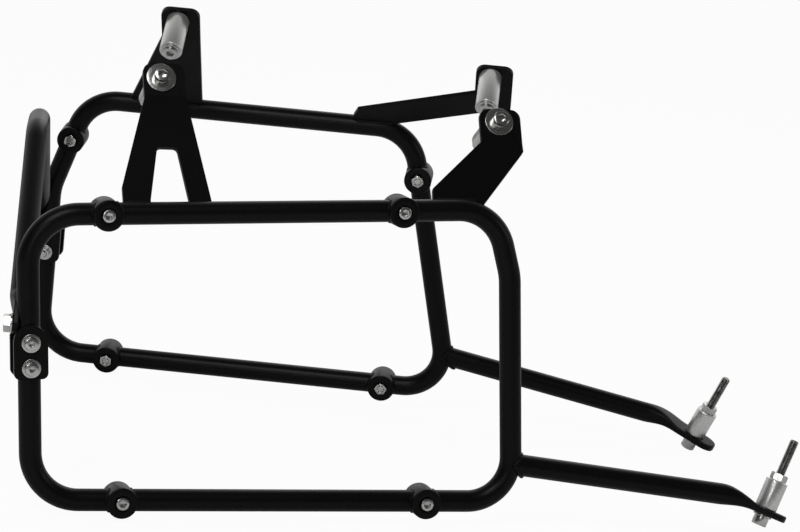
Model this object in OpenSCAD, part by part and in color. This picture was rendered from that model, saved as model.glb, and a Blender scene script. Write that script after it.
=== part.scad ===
// Pannier frame: two bent-tube side hoops joined by a rear crossbar, with fixing brackets and arms.
// Millimetres, +X is the bike's front, +Y its left, +Z up, floor at z = 0.

/* [Tube] */
// Outer diameter of the hoop tube
tube_d = 18; // [14:0.5:25]
// Bend radius of the hoop corners, on the tube's centre line
bend_r = 40; // [28:1:60]
// Bend radius of the front bottom corners
front_bend_r = 35; // [26:1:60]
// Thickness of the bracket plates
plate_t = 4; // [3:0.5:6]

/* [Stance] */
// Half the distance between the hoops at their rear bottom corners
half_span = 232; // [180:1:280]
// Where the rear bottom corners sit behind the origin
rear_x = -91; // [-140:1:-60]
// How far each hoop turns its front end inward
toe_in = 9.5; // [0:0.5:14]
// How far each hoop leans its top inward
lean_in = 5.25; // [0:0.25:10]
// How far the front lifts when the frame rests on its arm bolts
rest_angle = 1.92; // [0:0.1:5]
// How far the whole frame is raised so that it touches the floor
rest_lift = 5.5; // [0:0.1:20]
// How far the whole frame is moved back so that its middle is over the origin
middle_back = 211.7; // [150:0.1:280]

/* [Right hoop] */
// Length of the bottom rail
right_bottom = 398; // [300:1:460]
// Height of the rear top corner
right_rear_h = 227; // [160:1:300]
// How far the rear rail leans back at the top
right_rear_back = 13; // [0:1:40]
// Height of the front top corner
right_front_h = 242; // [160:1:300]
// How far the front top corner stands behind the front bottom corner
right_front_back = 30; // [0:1:120]
// Height of the slight bend in the front rail
right_knee_h = 188; // [100:1:220]
// How far that bend stands behind the front bottom corner
right_knee_back = 14; // [0:1:60]

/* [Left hoop] */
// Length of the bottom rail
left_bottom = 388; // [300:1:460]
// Height of the top rail
left_top_h = 248; // [160:1:300]
// Height of the bend in the rear rail
left_knee_h = 160; // [100:1:200]
// How far that bend stands before the rear bottom corner
left_knee_fwd = 6; // [0:1:40]
// How far the rear top corner stands before the rear bottom corner
left_rear_fwd = 37; // [0:1:80]
// How far the front top corner stands behind the front bottom corner
left_front_back = 53; // [0:1:120]

/* [Bosses] */
// Outer diameter of the welded bosses
boss_d = 25; // [20:0.5:32]
// How far a boss stands out from the tube's middle on the hoop's outer side
boss_out = 14; // [11:0.5:20]
// How far it stands out on the inner side
boss_in = 14; // [11:0.5:20]
// Diameter of the recess at each end of a boss
boss_recess_d = 12; // [10:0.5:16]
// Depth of that recess
boss_recess = 3; // [0:0.5:6]
// Screw diameter in the bosses and clamp plates
screw_d = 6; // [5:1:8]

/* [Crossbar] */
// Height of the crossbar's top run
crossbar_h = 268; // [200:1:340]
// Half the length of the top run, to the corner points
crossbar_half = 32; // [15:1:80]
// Bend radius of the crossbar
crossbar_r = 48; // [30:1:80]
// Height of the bolts that hold the crossbar
crossbar_bolt_h = 149; // [100:1:200]
// Width of the pressed ends
paddle_w = 24; // [18:1:30]
// Thickness of the pressed ends
paddle_t = 5; // [3:0.5:8]

/* [Clamp plates] */
// Width of a clamp plate
clamp_w = 27; // [22:1:40]
// Height of a clamp plate below its arched top
clamp_h = 38; // [30:1:60]
// Spacing of the two clamp screws
clamp_pitch = 20; // [14:1:30]
// Height of the right clamp plates' middle
right_clamp_z = 117.5; // [80:0.5:160]
// Height of the left clamp plates' middle
left_clamp_z = 110.5; // [80:0.5:160]

/* [Upper brackets] */
// Total lean of the bracket plates
bracket_lean = 42; // [20:1:60]
// Lean of the folded ends that take the bolts
flange_lean = 33; // [0:1:60]
// Width of the folded ends
flange_w = 34; // [26:1:45]
// Outer diameter of the long spacers
spacer_d = 20; // [16:0.5:26]
// Length of the long spacers
spacer_l = 41; // [20:1:70]
// Diameter of the bolts in brackets, arms and crossbar
bolt_d = 8; // [6:1:10]

/* [Lower arms] */
// Distance from arm end to the arm bolt
tip_l = 37; // [25:1:60]
// Width of the pressed tip
tip_w = 24; // [18:1:32]
// Thickness of the pressed tip
tip_t = 6; // [4:0.5:9]
// Length of the spacer on the tip
tip_spacer_l = 25; // [10:1:40]
// Free length of the threaded stud above the nut on an arm
stud_l = 29; // [10:1:60]
// Downward pitch of the tip
tip_pitch = 23; // [0:1:40]
// Inward turn of the tip
tip_yaw = 23.5; // [0:0.5:40]

/* [Hidden] */
$fn = 64;
clear = 0.2;
// Bends are drawn this much fatter than the runs, which reach a little way into them
joint = 0.12;
reach = 0.6;
tube_r = tube_d / 2;
washer_t = 1.6;
hole_d = bolt_d + 2 * clear;
small_hole_d = screw_d + 2 * clear;
right_z = tube_r;
left_z = tube_r + 0.5;

// Corner points of each hoop's centre line, along and up its own plane
right_path = [
  [0, 0],
  [right_bottom, 0],
  [right_bottom - right_knee_back, right_knee_h],
  [right_bottom - right_front_back, right_front_h],
  [-right_rear_back, right_rear_h]
];
left_path = [
  [-7, 0],
  [left_bottom - 7, 0],
  [left_bottom - 7 - left_front_back, left_top_h],
  [left_rear_fwd - 7, left_top_h],
  [left_knee_fwd - 7, left_knee_h]
];
// Bend radius at each corner, with the gentle bend of the front or rear rail
knee_r = 60;
right_radii = [bend_r, front_bend_r, knee_r, bend_r, bend_r];
left_radii = [bend_r, front_bend_r, bend_r, bend_r, knee_r];
right_top_slope = atan2(right_front_h - right_rear_h, right_bottom - right_front_back + right_rear_back);
right_rear_tilt = atan2(right_rear_back, right_rear_h);
left_rear_tilt = -atan2(left_knee_fwd, left_knee_h);
// A point on the line from a to b at distance s along x, or at height t
function on_x(a, b, s) = [s, a[1] + (b[1] - a[1]) * (s - a[0]) / (b[0] - a[0])];
function on_z(a, b, t) = [a[0] + (b[0] - a[0]) * (t - a[1]) / (b[1] - a[1]), t];
function line_angle(a, b) = atan2(b[1] - a[1], b[0] - a[0]);
boss_right = [[71, 0], [322, 0], on_x(right_path[4], right_path[3], 288), on_x(right_path[4], right_path[3], 49)];
boss_left = [[59.5, 0], [319, 0], on_z(left_path[1], left_path[2], left_top_h - 44),
  on_z(left_path[4], left_path[3], left_top_h - 38)];
boss_left_turn = [0, 0, line_angle(left_path[1], left_path[2]), line_angle(left_path[4], left_path[3])];
boss_right_turn = [0, 0, right_top_slope, right_top_slope];

// Small vector functions
function unit(v) = v / norm(v);
function cross2(a, b) = a[0] * b[1] - a[1] * b[0];
function turn(a, b) = atan2(cross2(a, b), a[0] * b[0] + a[1] * b[1]);

// The whole part on its floor
module placed() {
  translate([-middle_back, 0, rest_lift]) rotate([0, -rest_angle, 0]) children();
}

// One hoop's plane: x along the bottom rail, z up the hoop, y inward
module right_side() {
  placed() translate([rear_x, -half_span, right_z]) rotate([0, 0, toe_in]) rotate([-lean_in, 0, 0]) children();
}
module left_side() {
  placed() mirror([0, 1, 0]) translate([rear_x, -half_span, left_z]) rotate([0, 0, toe_in])
    rotate([-lean_in, 0, 0]) children();
}

// A bend at corner b between corners a and c
module bend(a, b, c, r, d) {
  u = unit(b - a);
  w = unit(c - b);
  t = turn(u, w);
  back = r * tan(abs(t) / 2);
  side = t > 0 ? 1 : -1;
  centre = b - u * back + side * r * [-u[1], u[0]];
  first = t > 0 ? b - u * back : b + w * back;
  start = atan2(first[1] - centre[1], first[0] - centre[0]);
  translate([centre[0], centre[1], 0]) rotate([0, 0, start]) rotate_extrude(angle = abs(t))
    translate([r, 0]) circle(d = d + joint);
}

// A straight run between corners b and c, shortened for the bends at both
module run(a, b, c, e, rb, rc, d) {
  w = unit(c - b);
  tb = rb * tan(abs(turn(unit(b - a), w)) / 2);
  tc = rc * tan(abs(turn(w, unit(e - c))) / 2);
  p = b + w * (tb - reach);
  l = norm(c - b) - tb - tc + 2 * reach;
  translate([p[0], p[1], 0]) rotate([0, 0, atan2(w[1], w[0])]) rotate([0, 90, 0]) cylinder(d = d, h = l);
}

// A closed hoop of tube through the given corners, standing in the x-z plane
module loop_tube(path, radii, d) {
  n = len(path);
  rotate([90, 0, 0]) for (i = [0 : n - 1]) {
    run(path[(i + n - 1) % n], path[i], path[(i + 1) % n], path[(i + 2) % n],
      radii[i], radii[(i + 1) % n], d);
    bend(path[(i + n - 1) % n], path[i], path[(i + 1) % n], radii[i], d);
  }
}

// A straight length of tube through point p at an angle, long enough to cut with
module straight_at(p, angle, half, d) {
  translate([p[0], 0, p[1]]) rotate([0, -angle, 0]) rotate([0, 90, 0]) cylinder(d = d, h = 2 * half, center = true);
}

module y_rod(d, from, to) {
  translate([0, from, 0]) rotate([-90, 0, 0]) cylinder(d = d, h = to - from);
}

// Where each hoop's rear rail stands at a given height
function right_rear_s(t) = -right_rear_back * t / right_rear_h;
function left_rear_s(t) = -7 + left_knee_fwd * t / left_knee_h;

module clamp_holes(s, z, tilt) {
  translate([s, 0, z]) rotate([0, -tilt, 0]) for (k = [-0.5, 0.5])
    translate([0, 0, k * clamp_pitch]) y_rod(small_hole_d, -30, 30);
}

// Hoops
module right_hoop() color("#161616") difference() {
  right_side() loop_tube(right_path, right_radii, tube_d);
  right_side() for (p = boss_right) translate([p[0], 0, p[1]]) y_rod(small_hole_d, -30, 30);
  right_side() clamp_holes(right_rear_s(right_clamp_z), right_clamp_z, right_rear_tilt);
  crossbar_holes();
}
module crossbar_holes() {
  each_crossbar_bolt() y_rod(hole_d, -1, paddle_t + 9);
}
module left_hoop() color("#161616") difference() {
  left_side() loop_tube(left_path, left_radii, tube_d);
  left_side() for (p = boss_left) translate([p[0], 0, p[1]]) y_rod(small_hole_d, -30, 30);
  left_side() clamp_holes(left_rear_s(left_clamp_z), left_clamp_z, left_rear_tilt);
  crossbar_holes();
}

// Bosses: short round bars across the tube, recessed and drilled for a screw
module boss() {
  difference() {
    y_rod(boss_d, -boss_out, boss_in);
    y_rod(small_hole_d, -boss_out - 5, boss_in + 5);
    y_rod(boss_recess_d, -boss_out - 5, -boss_out + boss_recess);
    y_rod(boss_recess_d, boss_in - boss_recess, boss_in + 5);
  }
}
// The bends are cut this much tighter, so that a boss beside one is cut by its straight run alone
bend_ease = 1;
module bosses(points, turns, path, radii) {
  for (i = [0 : 3]) difference() {
    translate([points[i][0], 0, points[i][1]]) boss();
    straight_at(points[i], turns[i], 20, tube_d);
    rotate([90, 0, 0]) for (k = [0 : 4])
      bend(path[(k + 4) % 5], path[k], path[(k + 1) % 5], radii[k] - bend_ease, tube_d);
  }
}
module right_bosses() color("#161616") right_side() bosses(boss_right, boss_right_turn, right_path, right_radii);
module left_bosses() color("#161616") left_side() bosses(boss_left, boss_left_turn, left_path, left_radii);

// Socket screw along y: head outside, shank going inward
module socket_screw(head_d, head_h, d, length, socket) {
  difference() {
    union() {
      y_rod(head_d, -head_h, 0);
      y_rod(d, -0.01, length);
    }
    translate([0, -head_h - 1, 0]) rotate([-90, 0, 0]) cylinder(d = socket, h = head_h * 0.6 + 1, $fn = 6);
  }
}
module hex_nut(across, d, h) {
  difference() {
    translate([0, 0, 0]) rotate([-90, 0, 0]) cylinder(d = across / cos(30), h = h, $fn = 6);
    y_rod(d, -1, h + 1);
  }
}
module each_boss() {
  right_side() for (p = boss_right) translate([p[0], 0, p[1]]) children();
  left_side() for (p = boss_left) translate([p[0], 0, p[1]]) children();
}
module boss_screws() color("#c8c8c8") each_boss()
  translate([0, -boss_out + boss_recess, 0])
    socket_screw(10.5, 5, screw_d, boss_out + boss_in - 2 * boss_recess + 5, 5);
module boss_nuts() color("#c8c8c8") each_boss()
  translate([0, boss_in - boss_recess, 0]) hex_nut(10, screw_d, 5);

// Washer along y, starting at y = 0 and going outward
module washer(outer, inner, t) {
  difference() {
    y_rod(outer, -t, 0);
    y_rod(inner, -t - 1, 1);
  }
}

// Clamp plates and their fixings
seat = 0.6;
module clamp_outline(arched) {
  difference() {
    union() {
      translate([-clamp_w / 2, -clamp_h / 2 + 5]) square([clamp_w, clamp_h - (arched ? 5 : 9)]);
      translate([-clamp_w / 2 + 5, -clamp_h / 2]) square([clamp_w - 10, 6]);
      translate([-clamp_w / 2 + 5, -clamp_h / 2 + 5]) circle(r = 5);
      translate([clamp_w / 2 - 5, -clamp_h / 2 + 5]) circle(r = 5);
      if (arched) translate([0, clamp_pitch / 2 + 1]) circle(r = 13);
    }
    for (k = [-0.5, 0.5]) translate([0, k * clamp_pitch]) circle(d = small_hole_d);
  }
}
module clamp_plate(inner) {
  y = inner ? tube_r - seat + plate_t / 2 : -tube_r + seat - plate_t / 2;
  difference() {
    translate([0, y, 0]) rotate([90, 0, 0]) linear_extrude(plate_t, center = true) clamp_outline(!inner);
    cylinder(d = tube_d, h = 80, center = true);
  }
}
module at_right_clamp() {
  right_side() translate([right_rear_s(right_clamp_z), 0, right_clamp_z]) rotate([0, -right_rear_tilt, 0]) children();
}
module at_left_clamp() {
  left_side() translate([left_rear_s(left_clamp_z), 0, left_clamp_z]) rotate([0, -left_rear_tilt, 0]) children();
}
module right_outer_clamp() color("#161616") at_right_clamp() clamp_plate(false);
module right_inner_clamp() color("#161616") at_right_clamp() clamp_plate(true);
module left_outer_clamp() color("#161616") at_left_clamp() clamp_plate(false);
module left_inner_clamp() color("#161616") at_left_clamp() clamp_plate(true);
clamp_face = tube_r - seat + plate_t;
module each_clamp_hole() {
  at_right_clamp() for (k = [-0.5, 0.5]) translate([0, 0, k * clamp_pitch]) children();
  at_left_clamp() for (k = [-0.5, 0.5]) translate([0, 0, k * clamp_pitch]) children();
}
module clamp_washers() color("#c8c8c8") each_clamp_hole() {
  translate([0, -clamp_face, 0]) washer(15, small_hole_d, 1.5);
  translate([0, clamp_face + 1.5, 0]) washer(15, small_hole_d, 1.5);
}
module clamp_screws() color("#c8c8c8") each_clamp_hole()
  translate([0, -clamp_face - 1.5, 0]) socket_screw(11, 4, screw_d, 2 * clamp_face + 3 + 7, 4);
module clamp_nuts() color("#c8c8c8") each_clamp_hole()
  translate([0, clamp_face + 1.5, 0]) hex_nut(10, screw_d, 5);

// Crossbar: an arch in an upright plane behind the rear rails
crossbar_x = rear_x - 15.5;
crossbar_yaw = -0.6;
crossbar_y = half_span - 11;
leg_angle = atan2(crossbar_h - crossbar_bolt_h, crossbar_y - crossbar_half);
leg_start = 30;
// Rounded ends of the pressed parts, and how far forward of the crossbar's middle each starts
paddle_end = 16;
right_paddle = -4.5;
left_paddle = -4.2;
module crossbar_plane() {
  placed() translate([crossbar_x, 0, 0]) rotate([0, 0, crossbar_yaw]) children();
}
// From sketch x = y of the bike, sketch y = height
module yz_sketch() {
  rotate([90, 0, 90]) children();
}
// One leg: tube from the pressed end to the bend, planed down on both sides at its end
module crossbar_leg(low) {
  a = [-crossbar_y, crossbar_bolt_h];
  b = [-crossbar_half, crossbar_h];
  c = [0, crossbar_h];
  top = low + paddle_t;
  tb = crossbar_r * tan(leg_angle / 2);
  translate([a[0], a[1], 0]) rotate([0, 0, leg_angle]) difference() {
    translate([6, 0, 0]) rotate([0, 90, 0]) cylinder(d = tube_d, h = norm(b - a) - tb - 6 + reach);
    rotate([90, 0, 0]) linear_extrude(60, center = true)
      polygon([[0, top], [12, top], [leg_start + 1, 10], [leg_start + 1, 30], [0, 30]]);
    rotate([90, 0, 0]) linear_extrude(60, center = true)
      polygon([[0, low], [12, low], [leg_start + 1, -10], [leg_start + 1, -30], [0, -30]]);
  }
  bend(a, b, c, crossbar_r, tube_d);
}
module crossbar_top() {
  l = crossbar_half - crossbar_r * tan(leg_angle / 2) + reach;
  translate([-l, crossbar_h, 0]) rotate([0, 90, 0]) cylinder(d = tube_d, h = 2 * l);
}
module crossbar_end(low) {
  translate([-crossbar_y, crossbar_bolt_h, 0]) rotate([0, 0, leg_angle])
    translate([0, 0, low - 0.2]) linear_extrude(paddle_t + 0.4) union() {
      circle(d = paddle_end);
      polygon([[2, -paddle_end / 2 + 0.4], [9, -paddle_w / 2], [14, -paddle_w / 2], [22, -6], [22, 6],
        [14, paddle_w / 2], [9, paddle_w / 2], [2, paddle_end / 2 - 0.4]]);
    }
}
module crossbar() color("#161616") difference() {
  crossbar_plane() yz_sketch() {
    crossbar_top();
    crossbar_leg(right_paddle);
    mirror([1, 0, 0]) crossbar_leg(left_paddle);
    crossbar_end(right_paddle);
    mirror([1, 0, 0]) crossbar_end(left_paddle);
  }
  right_side() translate([right_rear_s(136), 0, 136]) rotate([0, -right_rear_tilt, 0]) cylinder(d = tube_d, h = 90, center = true);
  left_side() translate([left_rear_s(136), 0, 136]) rotate([0, -left_rear_tilt, 0]) cylinder(d = tube_d, h = 90, center = true);
  crossbar_plane() for (s = [-1, 1]) translate([0, s * crossbar_y, crossbar_bolt_h]) rotate([0, 90, 0])
    cylinder(d = hole_d, h = 60, center = true);
}
module each_crossbar_bolt() {
  crossbar_plane() translate([right_paddle - 0.2, -crossbar_y, crossbar_bolt_h]) rotate([0, 0, -90]) children();
  crossbar_plane() translate([left_paddle - 0.2, crossbar_y, crossbar_bolt_h]) rotate([0, 0, -90]) children();
}
module crossbar_washers() color("#c8c8c8") each_crossbar_bolt() washer(16, hole_d, washer_t);
module crossbar_bolts() color("#c8c8c8") each_crossbar_bolt() translate([0, -washer_t, 0]) {
  rotate([90, 0, 0]) cylinder(d = 13 / cos(30), h = 5.5, $fn = 6);
  y_rod(bolt_d, -0.01, washer_t + paddle_t + 8);
}

// Upper brackets: a leaning plate from the top rail, folded at its end for the bolt
module plate_solid(h) {
  rotate([90, 0, 0]) linear_extrude(h, center = true) children();
}
module flange_outline(x0, w, h, hole_x, hole_z) {
  difference() {
    union() {
      translate([x0, -1]) square([w, h - 7]);
      translate([x0 + 8, -1]) square([w - 16, h + 1]);
      translate([x0 + 8, h - 8]) circle(r = 8);
      translate([x0 + w - 8, h - 8]) circle(r = 8);
    }
    translate([hole_x, hole_z]) circle(d = hole_d);
  }
}
// Where each bracket's foot starts on the top rail, and the height of the rail there
function right_rail(s) = on_x(right_path[4], right_path[3], s)[1];
right_rear_foot = [62, right_rail(62) + 0.047244];
left_rear_foot = [68, left_top_h];
right_front_foot = [300, right_rail(300) + 0.677165];
left_front_foot = [270, left_top_h];
// Heights of the folds along the leaning plates
right_rear_fold = 110;
left_rear_fold = 101;
right_front_fold = 64;
left_front_fold = 52;

// The right plates are drawn for this slope of their rail, and turn with it when it changes
drawn_slope = atan2(15, 381);
right_swing = drawn_slope - right_top_slope;
module bracket_plane(foot, swing = 0) {
  translate([foot[0], 0, foot[1]]) rotate([0, swing, 0]) rotate([-(bracket_lean - lean_in), 0, 0]) children();
}
module flange_plane(foot, fold, swing = 0) {
  bracket_plane(foot, swing) translate([0, 0, fold]) rotate([bracket_lean - flange_lean, 0, 0]) children();
}
module right_rear_bracket() color("#161616") right_side() difference() {
  union() {
    bracket_plane(right_rear_foot, right_swing) plate_solid(plate_t) difference() {
      polygon([[1, 0], [72, 0], [72, 13], [58.5, 110.5], [24.5, 110.5], [1, 24]]);
      polygon([[23, -5], [54, -5], [54, 12], [47.5, 60], [45, 62], [34, 62], [31.5, 60], [23, 12]]);
    }
    flange_plane(right_rear_foot, right_rear_fold, right_swing) plate_solid(plate_t) flange_outline(24, 34, 28, 38.5, 15);
  }
  straight_at(right_rear_foot, right_top_slope, 110, tube_d);
}
module left_rear_bracket() color("#161616") left_side() difference() {
  union() {
    bracket_plane(left_rear_foot) plate_solid(plate_t) difference() {
      polygon([[2, 0], [67, 0], [69, 101.5], [35, 101.5], [2, 10]]);
      polygon([[22, -5], [49, -5], [49, 12], [44, 44], [42, 46], [33, 46], [31, 44], [22, 12]]);
    }
    flange_plane(left_rear_foot, left_rear_fold) plate_solid(plate_t) flange_outline(35, 34, 33, 50, 21);
  }
  straight_at(left_rear_foot, 0, 110, tube_d);
}
module right_front_bracket() color("#161616") right_side() difference() {
  union() {
    bracket_plane(right_front_foot, right_swing) plate_solid(plate_t)
      polygon([[15, -2], [50, -6], [54, 0], [99, 57], [99.5, 64.5], [64, 66], [17, 19.5]]);
    flange_plane(right_front_foot, right_front_fold, right_swing) plate_solid(plate_t) flange_outline(64, 35, 31, 80, 19.5);
  }
  straight_at(right_front_foot, right_top_slope, 70, tube_d);
  rotate([90, 0, 0]) bend(right_path[2], right_path[3], right_path[4], bend_r, tube_d);
}
module left_front_bracket() color("#161616") left_side() difference() {
  union() {
    bracket_plane(left_front_foot) plate_solid(plate_t)
      polygon([[4, 0], [38, -3], [44, 9.5], [118, 36.5], [116, 65], [8, 24], [4, 14]]);
    flange_plane(left_front_foot, left_front_fold) plate_solid(plate_t) difference() {
      union() {
        translate([113, -3]) square([33, 38]);
        translate([121, -12]) square([17, 54]);
        translate([121, 34]) circle(r = 8);
        translate([138, 34]) circle(r = 8);
        translate([121, -4]) circle(r = 8);
        translate([138, -4]) circle(r = 8);
      }
      translate([126, 31.5]) circle(d = hole_d);
    }
  }
  straight_at(left_front_foot, 0, 60, tube_d);
  rotate([90, 0, 0]) bend(left_path[1], left_path[2], left_path[3], bend_r, tube_d);
}

// Bolts, washers, spacers and nuts of the upper brackets
module right_flanges() {
  right_side() flange_plane(right_rear_foot, right_rear_fold, right_swing) translate([38.5, 0, 15]) children();
  right_side() flange_plane(right_front_foot, right_front_fold, right_swing) translate([80, 0, 19.5]) children();
}
module left_flanges() {
  left_side() flange_plane(left_rear_foot, left_rear_fold) translate([50, 0, 21]) children();
  left_side() flange_plane(left_front_foot, left_front_fold) translate([126, 0, 31.5]) children();
}
module bracket_spacers() color("#b9bbbc") {
  right_flanges() translate([0, plate_t / 2, 0]) long_spacer();
  left_flanges() translate([0, plate_t / 2, 0]) long_spacer();
}
module long_spacer() {
  difference() {
    y_rod(spacer_d, 0, spacer_l);
    y_rod(hole_d, -1, spacer_l + 1);
  }
}
spacer_end = plate_t / 2 + spacer_l;
// On the right the bolts enter from outside and end in nuts; on the left they enter from inside
module bracket_washers() color("#c8c8c8") {
  right_flanges() translate([0, -plate_t / 2, 0]) washer(24, hole_d, washer_t);
  right_flanges() translate([0, spacer_end + washer_t, 0]) washer(17, hole_d, washer_t);
  left_flanges() translate([0, spacer_end + washer_t, 0]) washer(17, hole_d, washer_t);
}
module bracket_bolts() color("#c8c8c8") {
  right_flanges() translate([0, -plate_t / 2 - washer_t, 0])
    socket_screw(13, 8, bolt_d, 2 * washer_t + plate_t + spacer_l + 8, 6);
  left_flanges() translate([0, spacer_end + washer_t, 0]) rotate([0, 0, 180])
    socket_screw(13, 8, bolt_d, washer_t + plate_t + spacer_l + 1, 6);
}
module bracket_nuts() color("#c8c8c8") right_flanges() translate([0, spacer_end + washer_t, 0])
  hex_nut(13, bolt_d, 6.5);

// Lower arms. Points on a hoop's centre line, in the unrested frame
function on_hoop(s, t, z) = [
  rear_x + s * cos(toe_in) - t * sin(lean_in) * sin(toe_in),
  -half_span + s * sin(toe_in) + t * sin(lean_in) * cos(toe_in),
  z + t * cos(lean_in)
];
right_arm_t = 31.5;
left_arm_t = 34.5;
right_arm_s = right_bottom - right_knee_back * right_arm_t / right_knee_h;
left_arm_s = left_bottom - 7 - left_front_back * left_arm_t / left_top_h;
right_tip_p = [525.5, -125, -0.5];
left_tip_p = [512.8, -125, -8.5];
// How far each arm's tube end lies above its pressed tip
right_tip_rise = 2;
left_tip_rise = -1;
tip_roll = -2;
function turn_x(v, a) = [v[0], v[1] * cos(a) - v[2] * sin(a), v[1] * sin(a) + v[2] * cos(a)];
function turn_y(v, a) = [v[0] * cos(a) + v[2] * sin(a), v[1], -v[0] * sin(a) + v[2] * cos(a)];
function turn_z(v, a) = [v[0] * cos(a) - v[1] * sin(a), v[0] * sin(a) + v[1] * cos(a), v[2]];
function tip_point(p, v) = p + turn_z(turn_y(turn_x(v, tip_roll), tip_pitch), tip_yaw);
module rod(a, b, d) {
  v = b - a;
  translate(a) rotate([0, acos(v[2] / norm(v)), atan2(v[1], v[0])]) cylinder(d = d, h = norm(v));
}
module right_tip() {
  placed() translate(right_tip_p) rotate([tip_roll, tip_pitch, tip_yaw]) children();
}
module left_tip() {
  placed() mirror([0, 1, 0]) translate(left_tip_p) rotate([tip_roll, tip_pitch, tip_yaw]) children();
}
module each_tip() {
  right_tip() children();
  left_tip() children();
}
module arm(root, p, rise) {
  e = tip_point(p, [-tip_l, 0, rise]);
  v = unit(e - root);
  rod(root, e - v * 0.5, tube_d);
  hull() {
    rod(e - v * 0.9, e, tube_d + 0.08);
    translate(p) rotate([tip_roll, tip_pitch, tip_yaw]) translate([-tip_l + 16, -tip_w / 2, -tip_t / 2])
      cube([0.5, tip_w, tip_t]);
  }
  translate(p) rotate([tip_roll, tip_pitch, tip_yaw]) translate([0, 0, -tip_t / 2 - 0.05])
    linear_extrude(tip_t + 0.1) union() {
      translate([-tip_l + 16.3, -tip_w / 2 - 0.05]) square([tip_l - 6.3, tip_w + 0.1]);
      translate([10, 0]) circle(d = tip_w + 0.1);
    }
}
module right_arm() color("#161616") difference() {
  placed() arm(on_hoop(right_arm_s, right_arm_t, right_z), right_tip_p, right_tip_rise);
  right_side() translate([right_arm_s, 0, right_arm_t]) rotate([0, -atan2(right_knee_back, right_knee_h), 0])
    cylinder(d = tube_d, h = 60, center = true);
  right_tip() cylinder(d = hole_d, h = 30, center = true);
}
module left_arm() color("#161616") difference() {
  placed() mirror([0, 1, 0]) arm(on_hoop(left_arm_s, left_arm_t, left_z), left_tip_p, left_tip_rise);
  left_side() translate([left_arm_s, 0, left_arm_t]) rotate([0, -atan2(left_front_back, left_top_h), 0])
    cylinder(d = tube_d, h = 60, center = true);
  left_tip() cylinder(d = hole_d, h = 30, center = true);
}
module arm_spacers() color("#b9bbbc") each_tip() translate([0, 0, tip_t / 2]) difference() {
  cylinder(d = 19, h = tip_spacer_l);
  translate([0, 0, -1]) cylinder(d = hole_d, h = tip_spacer_l + 2);
}
module arm_washers() color("#c8c8c8") each_tip() translate([0, 0, -tip_t / 2 - washer_t]) difference() {
  cylinder(d = 16, h = washer_t);
  translate([0, 0, -1]) cylinder(d = hole_d, h = washer_t + 2);
}
// The thread is drawn at its mean size where it is inside the nut, and at full size where it stands free.
shank_d = bolt_d - 0.8;
stud_from = washer_t + tip_t + tip_spacer_l + 6.5 + 1;
module arm_bolts() color("#c8c8c8") each_tip() translate([0, 0, -tip_t / 2 - washer_t]) difference() {
  union() {
    translate([0, 0, -8]) cylinder(d = 13, h = 8);
    translate([0, 0, -0.01]) cylinder(d = shank_d, h = stud_from + 0.1);
    translate([0, 0, stud_from]) cylinder(d = bolt_d, h = stud_l);
    translate([0, 0, stud_from + stud_l - 0.4]) cylinder(d1 = bolt_d - 0.2, d2 = bolt_d - 2, h = 1.4);
  }
  translate([0, 0, -9]) cylinder(d = 6, h = 5, $fn = 6);
}
module arm_nuts() color("#c8c8c8") each_tip() translate([0, 0, tip_t / 2 + tip_spacer_l]) difference() {
  cylinder(d = 13 / cos(30), h = 6.5, $fn = 6);
  translate([0, 0, -1]) cylinder(d = shank_d, h = 9);
}

right_hoop();
left_hoop();
right_bosses();
left_bosses();
boss_screws();
boss_nuts();
right_arm();
left_arm();
arm_bolts();
arm_washers();
arm_spacers();
arm_nuts();
right_rear_bracket();
left_rear_bracket();
right_front_bracket();
left_front_bracket();
bracket_spacers();
bracket_bolts();
bracket_washers();
bracket_nuts();
crossbar();
crossbar_bolts();
crossbar_washers();
right_outer_clamp();
right_inner_clamp();
left_outer_clamp();
left_inner_clamp();
clamp_screws();
clamp_washers();
clamp_nuts();
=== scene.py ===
"""Pannier frame: two bent-tube side hoops, a rear crossbar, brackets, arms and fixings."""

import bmesh
import bpy
import numpy as np
from mathutils import Matrix, Vector
from mathutils.geometry import tessellate_polygon


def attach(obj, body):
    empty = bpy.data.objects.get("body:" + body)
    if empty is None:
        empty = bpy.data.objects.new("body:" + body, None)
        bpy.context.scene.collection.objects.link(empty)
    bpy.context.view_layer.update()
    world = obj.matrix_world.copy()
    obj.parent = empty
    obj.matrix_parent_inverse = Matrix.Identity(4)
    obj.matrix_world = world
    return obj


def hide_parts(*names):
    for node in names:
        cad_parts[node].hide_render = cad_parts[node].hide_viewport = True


bl_info = {
    "name": "Pannier frame",
    "version": (1, 0, 0),
    "blender": (4, 5, 0),
    "location": "View3D > Sidebar > Pannier frame",
    "description": "Builds the dressed surfaces of a motorbike pannier frame on its CAD model",
    "category": "Add Mesh",
}

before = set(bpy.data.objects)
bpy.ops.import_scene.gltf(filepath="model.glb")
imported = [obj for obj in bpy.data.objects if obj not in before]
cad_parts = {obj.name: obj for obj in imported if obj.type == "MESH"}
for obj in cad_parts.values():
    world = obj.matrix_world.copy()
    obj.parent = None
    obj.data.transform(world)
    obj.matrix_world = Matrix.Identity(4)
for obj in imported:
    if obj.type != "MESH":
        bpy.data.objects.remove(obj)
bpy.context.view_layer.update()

# Shapes are worked out in millimetres and go into Blender in metres
MM = 0.001


# Placing matrices

def shift(x, y, z):
    """A move by x, y and z, as a 4 by 4 matrix."""
    matrix = np.eye(4)
    matrix[:3, 3] = (x, y, z)
    return matrix


def spin(axis, degrees):
    """A turn about the axis "x", "y" or "z", right-handed."""
    first, second = {"x": (1, 2), "y": (2, 0), "z": (0, 1)}[axis]
    angle = np.radians(degrees)
    matrix = np.eye(4)
    matrix[first, first] = matrix[second, second] = np.cos(angle)
    matrix[second, first] = np.sin(angle)
    matrix[first, second] = -np.sin(angle)
    return matrix


MIRROR = np.diag([1.0, -1.0, 1.0, 1.0])
MIRRORED = {"right": np.eye(4), "left": MIRROR}
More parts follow.
